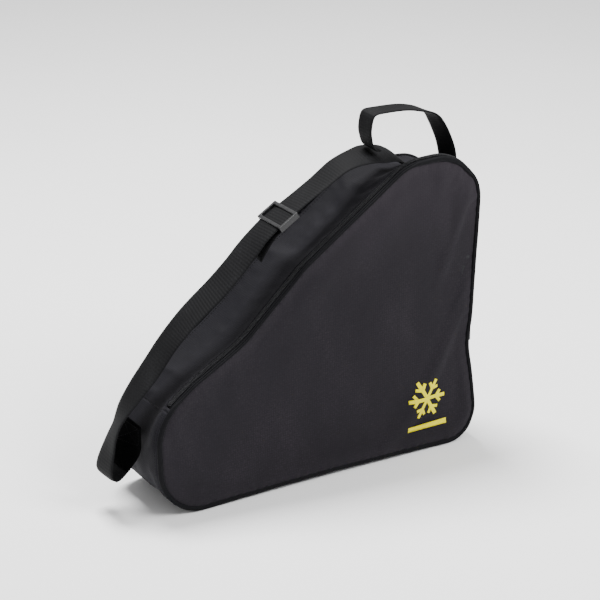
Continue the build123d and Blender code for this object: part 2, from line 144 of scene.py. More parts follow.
def vectors(items, key):
    flat = np.empty(len(items) * 3)
    items.foreach_get(key, flat)
    return flat.reshape(-1, 3)


def points_of(obj):
    return vectors(obj.data.vertices, "co") / MM


def set_points(obj, points):
    obj.data.vertices.foreach_set("co", (points * MM).ravel())
    obj.data.update()


def normals_of(obj):
    return vectors(obj.data.vertex_normals, "vector")


def refine(obj):
    """Applies one level of subdivision, so that the mesh is final."""
    modifier = obj.modifiers.new("smooth", "SUBSURF")
    modifier.levels = modifier.render_levels = 1
    graph = bpy.context.evaluated_depsgraph_get()
    mesh = bpy.data.meshes.new_from_object(
        obj.evaluated_get(graph), preserve_all_data_layers=True, depsgraph=graph
    )
    obj.modifiers.remove(modifier)
    old = obj.data
    obj.data = mesh
    bpy.data.meshes.remove(old)
    mesh.name = obj.name
    return obj


def sweep(name, centres, normals, sides, profile, closed=False):
    """A skin along centres. Each profile point (a, b) lies at a times the side plus b times the normal."""
    centres, normals, sides = (np.asarray(v, float) for v in (centres, normals, sides))
    profile = np.asarray(profile, float)
    count = len(centres)
    if profile.ndim == 2:
        profile = np.repeat(profile[None], count, axis=0)
    around = profile.shape[1]
    points = centres[:, None] + profile[:, :, :1] * sides[:, None] + profile[:, :, 1:] * normals[:, None]
    along = lengths_along(centres)
    girth = lengths_along(points[0])
    coords = np.stack([np.repeat(along, around), np.tile(girth, count)], axis=1)
    faces = []
    for i in range(count if closed else count - 1):
        a, b = i * around, ((i + 1) % count) * around
        for j in range(around):
            k = (j + 1) % around
            faces.append((a + j, a + k, b + k, b + j))
    if not closed:
        faces.append(tuple(range(around - 1, -1, -1)))
        faces.append(tuple(range((count - 1) * around, count * around)))
    return make_mesh(name, points.reshape(-1, 3), faces, coords)


def circle(radius, count):
    turns = np.arange(count) * 2 * math.pi / count
    return np.stack([radius * np.cos(turns), radius * np.sin(turns)], axis=1)


def resample(points, step):
    """A smooth curve through points, at even steps."""
    points = np.asarray(points, float)
    ends = np.concatenate([[2 * points[0] - points[1]], points, [2 * points[-1] - points[-2]]])
    fine = []
    for i in range(1, len(ends) - 2):
        p0, p1, p2, p3 = ends[i - 1:i + 3]
        for t in np.arange(0, 1, 0.05):
            fine.append(0.5 * (
                2 * p1 + (p2 - p0) * t + (2 * p0 - 5 * p1 + 4 * p2 - p3) * t ** 2
                + (3 * p1 - p0 - 3 * p2 + p3) * t ** 3
            ))
    fine.append(points[-1])
    fine = np.array(fine)
    along = lengths_along(fine[:, :3])
    count = max(2, int(round(along[-1] / step)) + 1)
    targets = np.linspace(0, along[-1], count)
    return np.stack([np.interp(targets, along, fine[:, k]) for k in range(fine.shape[1])], axis=1)


# ---- outlines ----
def arcs_of(corners):
    """Start, end and centre of the arc at each corner."""
    points = [np.array((x + TOE_X, z), float) for x, z, r in corners]
    arcs = []
    for i, p in enumerate(points):
        back = unit(points[i - 1] - p)
        ahead = unit(points[(i + 1) % len(points)] - p)
        half = math.acos(float(np.clip(back @ ahead, -1, 1))) / 2
        r = corners[i][2]
        reach = r / math.tan(half)
        arcs.append((p + back * reach, p + ahead * reach, p + unit(back + ahead) * r / math.sin(half)))
    return arcs


def turn_of(arc):
    """First angle of an arc, and how far it turns."""
    a, b, centre = arc
    first = math.atan2(*(a - centre)[::-1])
    last = math.atan2(*(b - centre)[::-1])
    return first, (last - first + math.pi) % (2 * math.pi) - math.pi


def counts_of(corners):
    """How many points each arc and each straight run gets."""
    arcs = arcs_of(corners)
    counts = []
    for i, arc in enumerate(arcs):
        run = np.linalg.norm(arcs[(i + 1) % len(arcs)][0] - arc[1])
        bend = abs(turn_of(arc)[1]) * np.linalg.norm(arc[0] - arc[2])
        counts.append((max(2, math.ceil(bend / STEP)), max(1, math.ceil(run / STEP))))
    return counts


def ring_of(corners, counts):
    arcs = arcs_of(corners)
    ring = []
    for i, arc in enumerate(arcs):
        first, turn = turn_of(arc)
        radius = np.linalg.norm(arc[0] - arc[2])
        for k in range(counts[i][0]):
            angle = first + turn * k / counts[i][0]
            ring.append(arc[2] + radius * np.array((math.cos(angle), math.sin(angle))))
        ahead = arcs[(i + 1) % len(arcs)][0]
        for k in range(counts[i][1]):
            ring.append(arc[1] + (ahead - arc[1]) * k / counts[i][1])
    ring = np.array(ring)
    # The bottom edge is arched a little between its two corners.
    x = ring[:, 0] - TOE_X
    rise = 4.0 * np.sin(np.pi * np.clip((x - 35) / 360, 0, 1)) * np.exp(-ring[:, 1] / 22)
    ring[:, 1] += rise
    return ring


COUNTS = counts_of(FRONT_CORNERS)
FRONT = ring_of(FRONT_CORNERS, COUNTS)
BACK = ring_of(BACK_CORNERS, COUNTS)
RING_N = len(FRONT)


def outward(ring):
    tangent = unit(np.roll(ring, -1, axis=0) - np.roll(ring, 1, axis=0))
    return np.stack([-tangent[:, 1], tangent[:, 0]], axis=1)


FRONT_OUT = outward(FRONT)
BACK_OUT = outward(BACK)
ALONG = lengths_along(FRONT)


def facing(x, z):
    """How much of each ring point faces the direction (x, z)."""
    direction = unit((x, z))
    return smooth(FRONT_OUT @ direction, 0.72, 0.96)


# ---- the shell: front panel, gusset and back panel as one skin ----
FIRST_DEPTHS = [PIPING_DEEP, 5.0, 7.8, 10.6, ZIP_DEPTH]
REST_COLUMNS = 14
COLUMNS = len(FIRST_DEPTHS) + REST_COLUMNS
SLOPE = facing(-0.62, 0.78)
TOP = facing(0.0, 1.0) * smooth(FRONT[:, 1], 290, 325)
HEEL = facing(1.0, 0.0)
TOE = facing(-1.0, 0.0)
BASE = facing(0.0, -1.0)
# At the heel the front panel's edge is puffed out beyond the gusset.
PUFF = 2.8 * HEEL * (
    smooth(FRONT[:, 1], 112, 150) * (1 - smooth(FRONT[:, 1], 298, 328))
    + 0.45 * smooth(FRONT[:, 1], 15, 50) * (1 - smooth(FRONT[:, 1], 80, 112))
)


def crease(x, y, start, end, middle_y, width):
    """A long valley across the gusset, from x start to end."""
    inside = smooth(x, start - 18, start + 12) * (1 - smooth(x, end - 12, end + 18))
    return inside * np.exp(-((y - middle_y) / width) ** 2)


def gusset_point(i, j):
    """Point of the gusset on ring step i and column j, in millimetres."""
    front, back = FRONT[i], BACK[i]
    start = near_y(front[1]) + ZIP_DEPTH
    end = -near_y(back[1]) - PIPING_DEEP
    if j < len(FIRST_DEPTHS):
        y = near_y(front[1]) + FIRST_DEPTHS[j]
    else:
        y = start + (end - start) * (j - len(FIRST_DEPTHS) + 1) / REST_COLUMNS
    drop = float(smooth(y - start, -1.0, 17.0))
    flat = front * (1 - drop) + back * drop
    out = unit(FRONT_OUT[i] * (1 - drop) + BACK_OUT[i] * drop)
    if j == 0:
        return np.array((*(front + FRONT_OUT[i] * (PUFF[i] - 2.0)), y))
    if j == COLUMNS - 1:
        return np.array((*(back - BACK_OUT[i] * 2.0), y))
    u = np.clip((y - start) / (end - start), 0, 1)
    belly = math.sin(math.pi * u)
    x, z = front[0] - TOE_X, front[1]
    full = math.sin(math.pi * np.clip((y + HALF_WIDTH) / (2 * HALF_WIDTH), 0, 1))
    high = float(smooth(z, 112, 165) * (1 - smooth(z, 285, 325)))
    move = SLOPE[i] * (-3.5 * belly)
    move -= 5.0 * SLOPE[i] * float(crease(x, y, 190, 275, 10, 9.0))
    move += 1.6 * SLOPE[i] * float(crease(x, y, 150, 250, -12, 9.0))
    move -= 2.0 * SLOPE[i] * float(crease(x, y, 60, 130, 12, 9.0))
    move += TOP[i] * (-2.0 * belly)
    move += HEEL[i] * (7.0 * high * full ** 0.7 + 2.0 * full * float(smooth(z, 100, 70)))
    move += TOE[i] * 2.5 * full
    move -= BASE[i] * 1.5 * full
    return np.array((*(flat + out * move), y))


def xyz(p):
    """(x, z, y) to (x, y, z)."""
    p = np.asarray(p, float)
    return np.stack([p[..., 0], p[..., 2], p[..., 1]], axis=-1)


GUSSET = np.array([[xyz(gusset_point(i, j)) for j in range(COLUMNS)] for i in range(RING_N)])
wrinkle_at = GUSSET.reshape(-1, 3)
WRINKLE = 1.1 * ripple(wrinkle_at * (1, 1.6, 1), 34.0, 3.1)
WRINKLE = WRINKLE + 0.6 * ripple(wrinkle_at * (1, 2.2, 1), 15.0, 7.7)
fade = np.ones(COLUMNS)
fade[:len(FIRST_DEPTHS)] = 0.0
fade[-2:] = (0.4, 0.0)
gusset_out = np.zeros_like(GUSSET)
gusset_out[..., 0] = FRONT_OUT[:, None, 0]
gusset_out[..., 2] = FRONT_OUT[:, None, 1]
GUSSET = GUSSET + gusset_out * (WRINKLE.reshape(RING_N, COLUMNS) * fade)[..., None]


def edge_distance(points, ring):
    """Distance of each 2-D point from a closed ring, and how far along the ring."""
    a = ring
    b = np.roll(ring, -1, axis=0)
    d = b - a
    best = np.full(len(points), 1e9)
    where = np.zeros(len(points))
    for i in range(len(a)):
        t = np.clip(((points - a[i]) @ d[i]) / (d[i] @ d[i]), 0, 1)
        gap = np.linalg.norm(points - (a[i] + t[:, None] * d[i]), axis=1)
        nearer = gap < best
        best[nearer] = gap[nearer]
        where[nearer] = ALONG[i] + t[nearer] * np.linalg.norm(d[i])
    return best, where


def inside_ring(points, ring):
    a, b = ring, np.roll(ring, -1, axis=0)
    count = np.zeros(len(points), int)
    for p, q in zip(a, b):
        crosses = (p[1] > points[:, 1]) != (q[1] > points[:, 1])
        at = p[0] + (points[:, 1] - p[1]) * (q[0] - p[0]) / (q[1] - p[1] + 1e-12)
        count += crosses & (points[:, 0] < at)
    return count % 2 == 1


def fill_ring(ring, step):
    """Inner points of a panel on an even triangular grid, and its triangles."""
    low, high = ring.min(axis=0), ring.max(axis=0)
    rows = np.arange(low[1], high[1], step * math.sqrt(3) / 2)
    grid = []
    for k, z in enumerate(rows):
        xs = np.arange(low[0] + (k % 2) * step / 2, high[0], step)
        grid.append(np.stack([xs, np.full(len(xs), z)], axis=1))
    grid = np.concatenate(grid)
    grid = grid[inside_ring(grid, ring)]
    grid = grid[edge_distance(grid, ring)[0] > 0.62 * step]
    points = np.concatenate([ring, grid])
    result = delaunay_2d_cdt([Vector(p) for p in points], [], [list(range(len(ring)))], 1, 1e-6)
    used = [source[0] for source in result[3]]
    triangles = [tuple(used[v] for v in face) for face in result[2]]
    return grid, triangles


# Soft folds of the front panel: (x, z) of both ends, height, width.
PANEL_FOLDS = [
    ((15, 52), (120, 38), 1.5, 7.0),
    ((150, 42), (265, 55), 0.9, 9.0),
    ((52, 140), (75, 95), 1.1, 6.0),
    ((330, 290), (385, 215), 1.6, 12.0),
    ((300, 262), (392, 180), -1.3, 10.0),
    ((205, 240), (150, 130), 0.9, 16.0),
    ((345, 322), (398, 290), 1.2, 8.0),
]


def panel_points(grid, ring, side):
    """Inner points of a panel, bulged away from the bag's middle. side is 1 for the front."""
    gap = edge_distance(grid, ring)[0]
    x = grid[:, 0] - TOE_X
    z = grid[:, 1]
    flat = np.stack([grid[:, 0], np.zeros(len(grid)), z], axis=1)
    bulge = -PIPING_DEEP * (1 - smooth(gap, 1.0, 9.0))
    bulge = bulge + (3.6 if side > 0 else 2.6) * (1 - np.exp(-gap / 26.0))
    bulge = bulge + 1.8 * ripple(flat, 95.0, 1.3 * side) * smooth(gap, 4, 40)
    bulge = bulge + 0.45 * ripple(flat, 26.0, 4.9 * side) * smooth(gap, 4, 30)
    if side > 0:
        slope_edge = np.exp(-((gap - 22) / 20) ** 2) * smooth(x, 90, 160)
        slope_edge = slope_edge * (1 - smooth(x, 290, 340)) * smooth(z, 150, 200)
        bulge = bulge + 2.2 * slope_edge
        for (xa, za), (xb, zb), height, width in PANEL_FOLDS:
            run = np.array((xb - xa, zb - za), float)
            span = np.linalg.norm(run)
            local = np.stack([x - xa, z - za], axis=1)
            t = local @ run / span ** 2
            off = np.abs(local[:, 0] * run[1] - local[:, 1] * run[0]) / span
            ends = smooth(t, -0.15, 0.25) * (1 - smooth(t, 0.75, 1.15))
            bulge = bulge + height * ends * np.exp(-(off / width) ** 2) * smooth(gap, 3, 16)
    return np.stack([grid[:, 0], side * (near_y(z) - bulge), z], axis=1)


FRONT_RING = GUSSET[:, 0][:, [0, 2]]
BACK_RING = GUSSET[:, -1][:, [0, 2]]
front_grid, front_triangles = fill_ring(FRONT_RING, PANEL_STEP)
back_grid, back_triangles = fill_ring(BACK_RING, PANEL_STEP)
front_inner = panel_points(front_grid, FRONT_RING, 1)
back_inner = panel_points(back_grid, BACK_RING, -1)

GUSSET_N = RING_N * COLUMNS
shell_points = np.concatenate([GUSSET.reshape(-1, 3), front_inner, back_inner])


def cell(i, j):
    return (i % RING_N) * COLUMNS + j


def panel_faces(triangles, column, first):
    """A panel's triangles in the shell's numbering. Its edge is a column of the gusset."""
    return [tuple(cell(k, column) if k < RING_N else first + k - RING_N for k in face) for face in triangles]


gusset_faces = [
    (cell(i, j), cell(i, j + 1), cell(i + 1, j + 1), cell(i + 1, j))
    for i in range(RING_N)
    for j in range(COLUMNS - 1)
]
front_faces = panel_faces(front_triangles, 0, GUSSET_N)
back_faces = [face[::-1] for face in panel_faces(back_triangles, COLUMNS - 1, GUSSET_N + len(front_inner))]


def facing_y(faces, sign):
    """Turns a panel's faces so that their normals point along Y times sign."""
    a, b, c = shell_points[list(faces[0][:3])]
    turned = np.cross(b - a, c - a)[1] * sign < 0
    return [face[::-1] for face in faces] if turned else faces


front_faces = facing_y(front_faces, -1)
back_faces = facing_y(back_faces, 1)
a, b, c = shell_points[list(gusset_faces[COLUMNS // 2][:3])]
if np.cross(b - a, c - a) @ gusset_out[0, 0] < 0:
    gusset_faces = [face[::-1] for face in gusset_faces]

# ---- cloth simulation ----
SIM_FRAMES = 24
SIM_CAP = 5.0


def relax(points, faces, pinned):
    """Lets the shell settle as cloth, with its seams held, and returns its points."""
    obj = make_mesh("settling", points, faces)
    group = obj.vertex_groups.new(name="held")
    for index in np.nonzero(pinned > 0)[0]:
        group.add([int(index)], float(pinned[index]), "REPLACE")
    cloth = obj.modifiers.new("cloth", "CLOTH")
    settings = cloth.settings
    settings.quality = 5
    settings.mass = 0.12
    settings.tension_stiffness = 18
    settings.compression_stiffness = 18
    settings.shear_stiffness = 6
    settings.bending_stiffness = 1.2
    settings.shrink_min = -0.004
    settings.use_pressure = True
    settings.uniform_pressure_force = 0.35
    settings.vertex_group_mass = "held"
    settings.effector_weights.gravity = 0.5
    cloth.collision_settings.use_collision = False
    cloth.point_cache.frame_start = 1
    cloth.point_cache.frame_end = SIM_FRAMES
    scene = bpy.context.scene
    for step in range(1, SIM_FRAMES + 1):
        scene.frame_set(step)
    graph = bpy.context.evaluated_depsgraph_get()
    settled = obj.evaluated_get(graph).to_mesh()
    result = vectors(settled.vertices, "co") / MM
    scene.frame_set(1)
    bpy.data.objects.remove(obj)
    move = result - points
    length = np.linalg.norm(move, axis=1, keepdims=True)
    return points + move * np.minimum(1.0, SIM_CAP / np.maximum(length, 1e-6))


held = np.zeros(len(shell_points))
for i in range(RING_N):
    held[cell(i, 0)] = held[cell(i, COLUMNS - 1)] = 1.0
    for j in range(1, len(FIRST_DEPTHS)):
        held[cell(i, j)] = 1.0 if FRONT[i, 1] > ZIP_Z - 12 else 0.3
shell_points = relax(shell_points, gusset_faces + front_faces + back_faces, held)
shell_points[:, 2] = np.maximum(shell_points[:, 2], 0.4)

# ---- cutting the shell into its pieces ----
shell_coords = np.zeros((len(shell_points), 2))
for i in range(RING_N):
    shell_coords[cell(i, 0):cell(i, 0) + COLUMNS, 0] = ALONG[i]
shell_coords[:GUSSET_N, 1] = GUSSET.reshape(-1, 3)[:, 1]


def cut_piece(name, faces, flat_map):
    """A piece of the shell, made finer. flat_map uses x and z as the cloth's own map."""
    used = sorted({v for face in faces for v in face})
    number = {v: k for k, v in enumerate(used)}
    points = shell_points[used]
    coords = points[:, [0, 2]] if flat_map else shell_coords[used]
    obj = make_mesh(name, points, [tuple(number[v] for v in face) for face in faces], coords)
    return refine(obj)


base_faces, upper_faces = [], []
for index, face in enumerate(gusset_faces):
    i, j = divmod(index, COLUMNS - 1)
    z = (FRONT[i, 1] + FRONT[(i + 1) % RING_N, 1]) / 2
    if z < (HEEL_SEAM_Z if FRONT[i, 0] > 0 else FOLD_Z):
        base_faces.append(face)
    elif z < ZIP_Z or j >= len(FIRST_DEPTHS) - 1:
        upper_faces.append(face)

front_panel = cut_piece("front_panel", front_faces, True)
back_panel = cut_piece("back_panel_cloth", back_faces, True)
base_gusset = cut_piece("base_gusset_cloth", base_faces, False)
upper_gusset = cut_piece("upper_gusset_cloth", upper_faces, False)


def set_wear_and_top_light(obj, wear_and_top_light):
    """Stores how much lighter the cloth is at each point: seam wear, and on the panels a painted highlight
    at the top.
    """
    layer = obj.data.attributes.new("wear_and_top_light", "FLOAT", "POINT")
    layer.data.foreach_set("value", wear_and_top_light.astype(np.float32))


def pucker(obj, ring, side):
    """Small gathers beside a panel's seam. The cloth is faded there by wear, and lighter at its top as a
    painted highlight.
    """
    points = points_of(obj)
    gap, along = edge_distance(points[:, [0, 2]], ring)
    wave = np.sin(along * 2 * math.pi / 11.0 + 2.0 * ripple(points, 40.0, 2.2))
    lift = 0.3 * wave * np.exp(-((gap - 6.0) / 5.0) ** 2)
    lift += 0.22 * ripple(points, 9.0, 5.5) * smooth(gap, 3, 10)
    points[:, 1] -= side * lift
    set_points(obj, points)
    wear_and_top_light = np.exp(-((gap - 5.0) / 7.0) ** 2) * (0.6 + 0.4 * ripple(points, 22.0, 8.8))
    # Painted highlight: the panel's top, from 200 mm up, is made lighter to stand in for light falling from
    # above.
    wear_and_top_light = np.clip(wear_and_top_light + 1.6 * smooth(points[:, 2], 200, 335), 0, 2)
    set_wear_and_top_light(obj, wear_and_top_light)


pucker(front_panel, FRONT_RING, 1)
pucker(back_panel, BACK_RING, -1)
for gusset, seed in ((base_gusset, 1.0), (upper_gusset, 2.0)):
    points = points_of(gusset)
    normal = normals_of(gusset)
    free = smooth(np.abs(points[:, 1]), 47, 38)
    points += normal * (0.25 * ripple(points * (1, 2, 1), 10.0, seed) * (1 - 0.6 * free))[:, None]
    set_points(gusset, points)
    # Seam wear only; the gussets get no painted highlight.
    wear_and_top_light = np.exp(-((np.abs(points[:, 1]) - 46) / 5.0) ** 2)
    set_wear_and_top_light(gusset, wear_and_top_light)


def thicken(obj, thickness, offset=-1.0):
    modifier = obj.modifiers.new("thickness", "SOLIDIFY")
    modifier.thickness = thickness * MM
    modifier.offset = offset
    modifier.use_even_offset = True
    return obj


for panel in (front_panel, back_panel):
    thicken(panel, PANEL_T)
for gusset in (base_gusset, upper_gusset):
    thicken(gusset, GUSSET_T)

# ---- piping ----
Y_AXIS = np.array((0.0, 1.0, 0.0))


def ring_frame(ring, out, inset, depth, side):
    """Centres, normals and sides of a line round a panel."""
    flat = ring - out * inset
    y = side * (near_y(ring[:, 1]) + depth)
    centres = np.stack([flat[:, 0], y, flat[:, 1]], axis=1)
    normals = np.stack([out[:, 0], np.zeros(len(ring)), out[:, 1]], axis=1)
    sides = np.repeat(Y_AXIS[None], len(ring), axis=0)
    return centres, normals, sides


def finer(values, times=3):
    """A closed ring's values with more steps between them."""
    count = len(values)
    at = np.arange(count * times) / times
    closed = np.concatenate([values, values[:1]])
    steps = np.arange(count + 1)
    return np.stack([np.interp(at, steps, closed[:, k]) for k in range(values.shape[1])], axis=1)


def piping(name, ring, out, radius, side):
    """A rolled edge round a panel."""
    centres, normals, sides = ring_frame(ring, out, PIPING_IN, PIPING_DEEP, side)
    centres, normals, sides = finer(centres), unit(finer(normals)), finer(sides)
    radius = finer(radius[:, None])[:, 0]
    radius = radius * (1 + 0.035 * ripple(centres, 7.0, 6.1) + 0.03 * ripple(centres, 25.0, 9.1))
    centres = centres + 0.25 * normals * ripple(centres, 30.0, 2.6)[:, None]
    centres[:, 2] = np.maximum(centres[:, 2], radius)
    profile = circle(1.0, 14)[None] * radius[:, None, None]
    return sweep(name, centres, normals, sides, profile, closed=True)


zip_run = SLOPE * smooth(FRONT[:, 1], 118, 135)
front_radius = PIPING_R - 1.5 * zip_run - 0.5 * HEEL
front_piping = piping("front_piping", FRONT + FRONT_OUT * PUFF[:, None], FRONT_OUT, front_radius, 1)
back_piping = piping("back_piping_roll", BACK, BACK_OUT, np.full(RING_N, PIPING_R), -1)


def binding(name, ring, out, side):
    """The tape folded over the seam allowance inside the bag."""
    centres, normals, sides = ring_frame(ring, out, BINDING_IN, BINDING_DEEP, side)
    profile = np.array([(-0.9, -4.2), (-0.9, 4.2), (-0.3, 4.6), (0.5, 4.2), (0.5, -4.2), (-0.3, -4.6)])
    return sweep(name, finer(centres, 2), unit(finer(normals, 2)), finer(sides, 2), profile, closed=True)


front_binding = binding("front_binding", FRONT, FRONT_OUT, 1)
back_binding = binding("back_binding_tape", BACK, BACK_OUT, -1)

# ---- zip ----
fine_ring = finer(FRONT, 2)
fine_out = unit(finer(FRONT_OUT, 2))
zip_rows = np.nonzero(fine_ring[:, 1] > ZIP_Z + 0.5)[0]
zip_ring, zip_out = fine_ring[zip_rows], fine_out[zip_rows]


def tape(name, depth_a, depth_b):
    """A zip tape between two depths. It runs under the coil, and a stitched cord lies beside the coil."""
    middle = (depth_a + depth_b) / 2
    half = (depth_b - depth_a) / 2
    towards = 1 if depth_a < COIL_A else -1
    centres, normals, sides = ring_frame(zip_ring, zip_out, 1.0, middle, 1)
    section = [
        (-1.0, -0.5), (1.0, -0.7), (1.0, -0.2), (0.2, 0.0),
        (-0.1, 0.55), (-0.45, 0.6), (-0.7, 0.25), (-1.0, 0.2),
    ]
    profile = np.array([(a * towards * half, b) for a, b in section[::towards]])
    return sweep(name, centres, normals, sides, profile)


zip_tape_flap = tape("zip_tape_flap_weave", TAPE_A, TAPE_B)
zip_tape_gusset = tape("zip_tape_gusset_weave", TAPE_C, TAPE_D)


def coil(name, depth, start):
    """One half of a zip coil: a flattened helix of thin wire along the zip."""
    rows = zip_ring[zip_ring[:, 1] > ZIP_Z + 2.0]
    outs = zip_out[zip_ring[:, 1] > ZIP_Z + 2.0]
    run = lengths_along(rows)
    turns = int(run[-1] / COIL_PITCH)
    at = np.linspace(0, turns * COIL_PITCH, turns * 9)
    centre = np.stack([np.interp(at, run, rows[:, k]) for k in range(2)], axis=1)
    out = unit(np.stack([np.interp(at, run, outs[:, k]) for k in range(2)], axis=1))
    angle = (at / COIL_PITCH + start) * 2 * math.pi
    lift = 0.95 * np.sin(angle) + 0.35
    flat = centre + out * lift[:, None]
    y = near_y(centre[:, 1]) + depth + 1.35 * np.cos(angle)
    path = np.stack([flat[:, 0], y, flat[:, 1]], axis=1)
    tangent = unit(np.gradient(path, axis=0))
    radial = np.stack([out[:, 0] * np.sin(angle), np.cos(angle), out[:, 1] * np.sin(angle)], axis=1)
    normal = unit(radial - tangent * np.sum(radial * tangent, axis=1, keepdims=True))
    return sweep(name, path, normal, np.cross(tangent, normal), circle(WIRE_R, 5))


zip_coil_flap = coil("zip_coil_flap_wire", COIL_A, 0.0)
zip_coil_gusset = coil("zip_coil_gusset_wire", COIL_B, 0.5)

# ---- webbing ----
def ribbon_profile(thickness, camber=0.0, count=13):
    """Half the section is the outer face with a groove by each edge, the rest the inner face."""
    u = np.linspace(-1, 1, count)
    top = thickness / 2 * (1 - 0.75 * np.abs(u) ** 14) - 0.16 * np.exp(-((np.abs(u) - 0.8) / 0.05) ** 2)
    low = -thickness / 2 * (1 - 0.75 * np.abs(u) ** 14)
    bow = camber * (1 - u ** 2)
    upper = np.stack([u, top + bow], axis=1)
    lower = np.stack([u[::-1], (low + bow)[::-1]], axis=1)
    return np.concatenate([upper, lower])


def ribbon(name, near, far, half_width, thickness, up, camber=0.0, seed=0.0, step=4.0):
    """Webbing between its near edge and its far edge, each a list of (x from the toe, z)."""
    both = [
        (a[0] + TOE_X, -half_width, a[1], b[0] + TOE_X, half_width, b[1])
        for a, b in zip(near, far)
    ]
    line = resample(both, step)
    centres = (line[:, :3] + line[:, 3:]) / 2
    across = unit(line[:, 3:] - line[:, :3])
    tangent = unit(np.gradient(centres, axis=0))
    normals = unit(np.cross(across, tangent))
    if normals[0] @ np.array(up) < 0:
        normals = -normals
    centres = centres + normals * (0.35 * ripple(centres, 28.0, seed))[:, None]
    side = across * half_width
    return sweep(name, centres, normals, side, ribbon_profile(thickness, camber))


STRAP_HALF = 19.0
STRAP_T = 1.8
strap_near = [
    (360, 313.2), (350, 313.0), (340, 314.0), (331, 320.0), (322, 328.0), (311, 332.2),
    (298, 332.5), (286, 334.5),
    (270, 335.0), (256, 333.5), (243, 329.0), (224, 318.5), (202, 306.5), (186.5, 297.6),
    (175, 290.0),
    (163, 282.2), (150, 272.2), (136, 257.0), (119, 239.6), (95, 218.0), (63, 194.4), (41, 175.5),
    (19, 149.0), (3, 133.0), (-12, 118.0), (-25, 104.5), (-32, 90.0), (-36, 70.0),
    (-38.6, 55.0), (-38.2, 45.0),
    (-34.5, 40.8), (-28.5, 42.6), (-17.5, 51.6),
]
strap_far = [
    (360, 313.8), (350, 313.8), (341, 315.6), (333, 322.5), (325, 333.0), (313, 340.2),
    (299, 343.2), (286, 344.2),
    (272, 340.6), (259, 336.8), (246, 331.2), (225, 317.2), (202, 304.0), (186, 295.6),
    (174, 289.2),
    (162, 281.6), (149, 271.4), (135, 259.4), (120, 244.8), (98, 226.6), (68, 203.6), (42, 178.0),
    (20, 151.6), (2, 129.6), (-10, 110.6), (-17.5, 92.0), (-24, 80.6), (-30.6, 67.6),
    (-36.6, 54.0), (-38.2, 44.0),
    (-34.5, 40.2), (-28.5, 42.6), (-17.5, 51.6),
]
strap = ribbon("shoulder_strap_webbing", strap_near, strap_far, STRAP_HALF, STRAP_T, (0, 0, 1), 0.5, 1.9)
toe_near = [(-21, 49.0), (-14, 55.0), (-6, 63.0), (-3.6, 72.0), (-4.0, 84.0), (-4.0, 96.0)]
toe_far = [(-21, 49.0), (-22.5, 57.0), (-20.5, 67.0), (-15.0, 77.0), (-8.5, 87.0), (-4.0, 97.0)]
strap_end_toe = ribbon("strap_end_at_toe", toe_near, toe_far, STRAP_HALF, STRAP_T, (-1, 0, 0), 0.3, 4.2)
tail_near = [(185.5, 291.2), (174, 284.0), (163, 276.4), (153, 265.0), (143, 250.4)]
tail_far = [(185.5, 291.2), (174, 284.0), (163, 276.9), (154, 267.4), (146, 255.0)]
strap_tail = ribbon("strap_tail_end", tail_near, tail_far, STRAP_HALF, STRAP_T, (-0.5, 0, 0.8), 0.2, 2.7)

HANDLE_HALF = 12.5
HANDLE_T = 2.2
handle_near = [
    (296, 344.6), (290.5, 345.4), (286.6, 350.0), (284.6, 358.0), (283.4, 367.0),
    (284.6, 377.0), (286.4, 382.6),
    (290.4, 385.6), (303, 386.0), (319, 385.4), (335, 383.6), (350, 380.0), (362, 376.8),
    (370.0, 372.6),
    (376, 366.0), (383, 355.0), (389.0, 342.5), (393.4, 330.0), (395.2, 318.0), (395.8, 308.0),
    (396.2, 300.0),
]
handle_far = [
    (296, 346.4), (290.5, 347.0), (286.6, 351.0), (284.0, 359.0), (282.6, 367.0),
    (283.6, 377.0), (285.4, 383.2),
    (289.6, 386.6), (303, 386.8), (319, 386.2), (335, 384.6), (350, 380.8), (361, 375.4),
    (367.6, 369.6),
    (372.0, 361.5), (377.6, 350.0), (382.6, 338.0), (385.8, 326.0), (388.0, 315.0),
    (391.0, 306.0), (394.4, 300.0),
]
handle = ribbon(
    "carry_handle_webbing", handle_near, handle_far, HANDLE_HALF, HANDLE_T, (0, 0, 1), 0.3, 3.3, 2.5
)


# ---- stitching ----
def stitches(name, lines, pitch=3.6, length=2.7, radius=0.34):
    """Rows of thread. Each line is (points, normals) in millimetres; stitches lie on it end to end."""
    around = 6
    stations = np.array([
        (-0.5, 0.25, -0.55), (-0.32, 0.9, 0.1), (0, 1.0, 0.3), (0.32, 0.9, 0.1), (0.5, 0.25, -0.55),
    ])
    ring = circle(1.0, around)
    points, faces = [], []
    for line, normal in lines:
        line, normal = np.asarray(line, float), np.asarray(normal, float)
        run = lengths_along(line)
        starts = np.arange(pitch / 2, run[-1] - pitch / 3, pitch)
        for s in starts:
            centre = np.array([np.interp(s, run, line[:, k]) for k in range(3)])
            ahead = np.array([np.interp(s + 0.5, run, line[:, k]) for k in range(3)])
            up = unit(np.array([np.interp(s, run, normal[:, k]) for k in range(3)]))
            tangent = unit(ahead - centre)
            side = unit(np.cross(tangent, up))
            first = len(points)
            for along, size, lift in stations:
                middle = centre + tangent * along * length + up * lift * radius
                for a, b in ring:
                    points.append(middle + side * a * size * radius + up * b * size * radius * 0.8)
            for k in range(len(stations) - 1):
                for m in range(around):
                    n = (m + 1) % around
                    faces.append((
                        first + k * around + m, first + k * around + n,
                        first + (k + 1) * around + n, first + (k + 1) * around + m,
                    ))
            faces.append(tuple(first + m for m in range(around - 1, -1, -1)))
            faces.append(tuple(first + (len(stations) - 1) * around + m for m in range(around)))
    points = np.array(points)
    return make_mesh(name, points, faces, points[:, [0, 2]])


def tree_of(obj):
    mesh = obj.data
    return BVHTree.FromPolygons(
        [v.co / MM for v in mesh.vertices], [tuple(p.vertices) for p in mesh.polygons]
    )


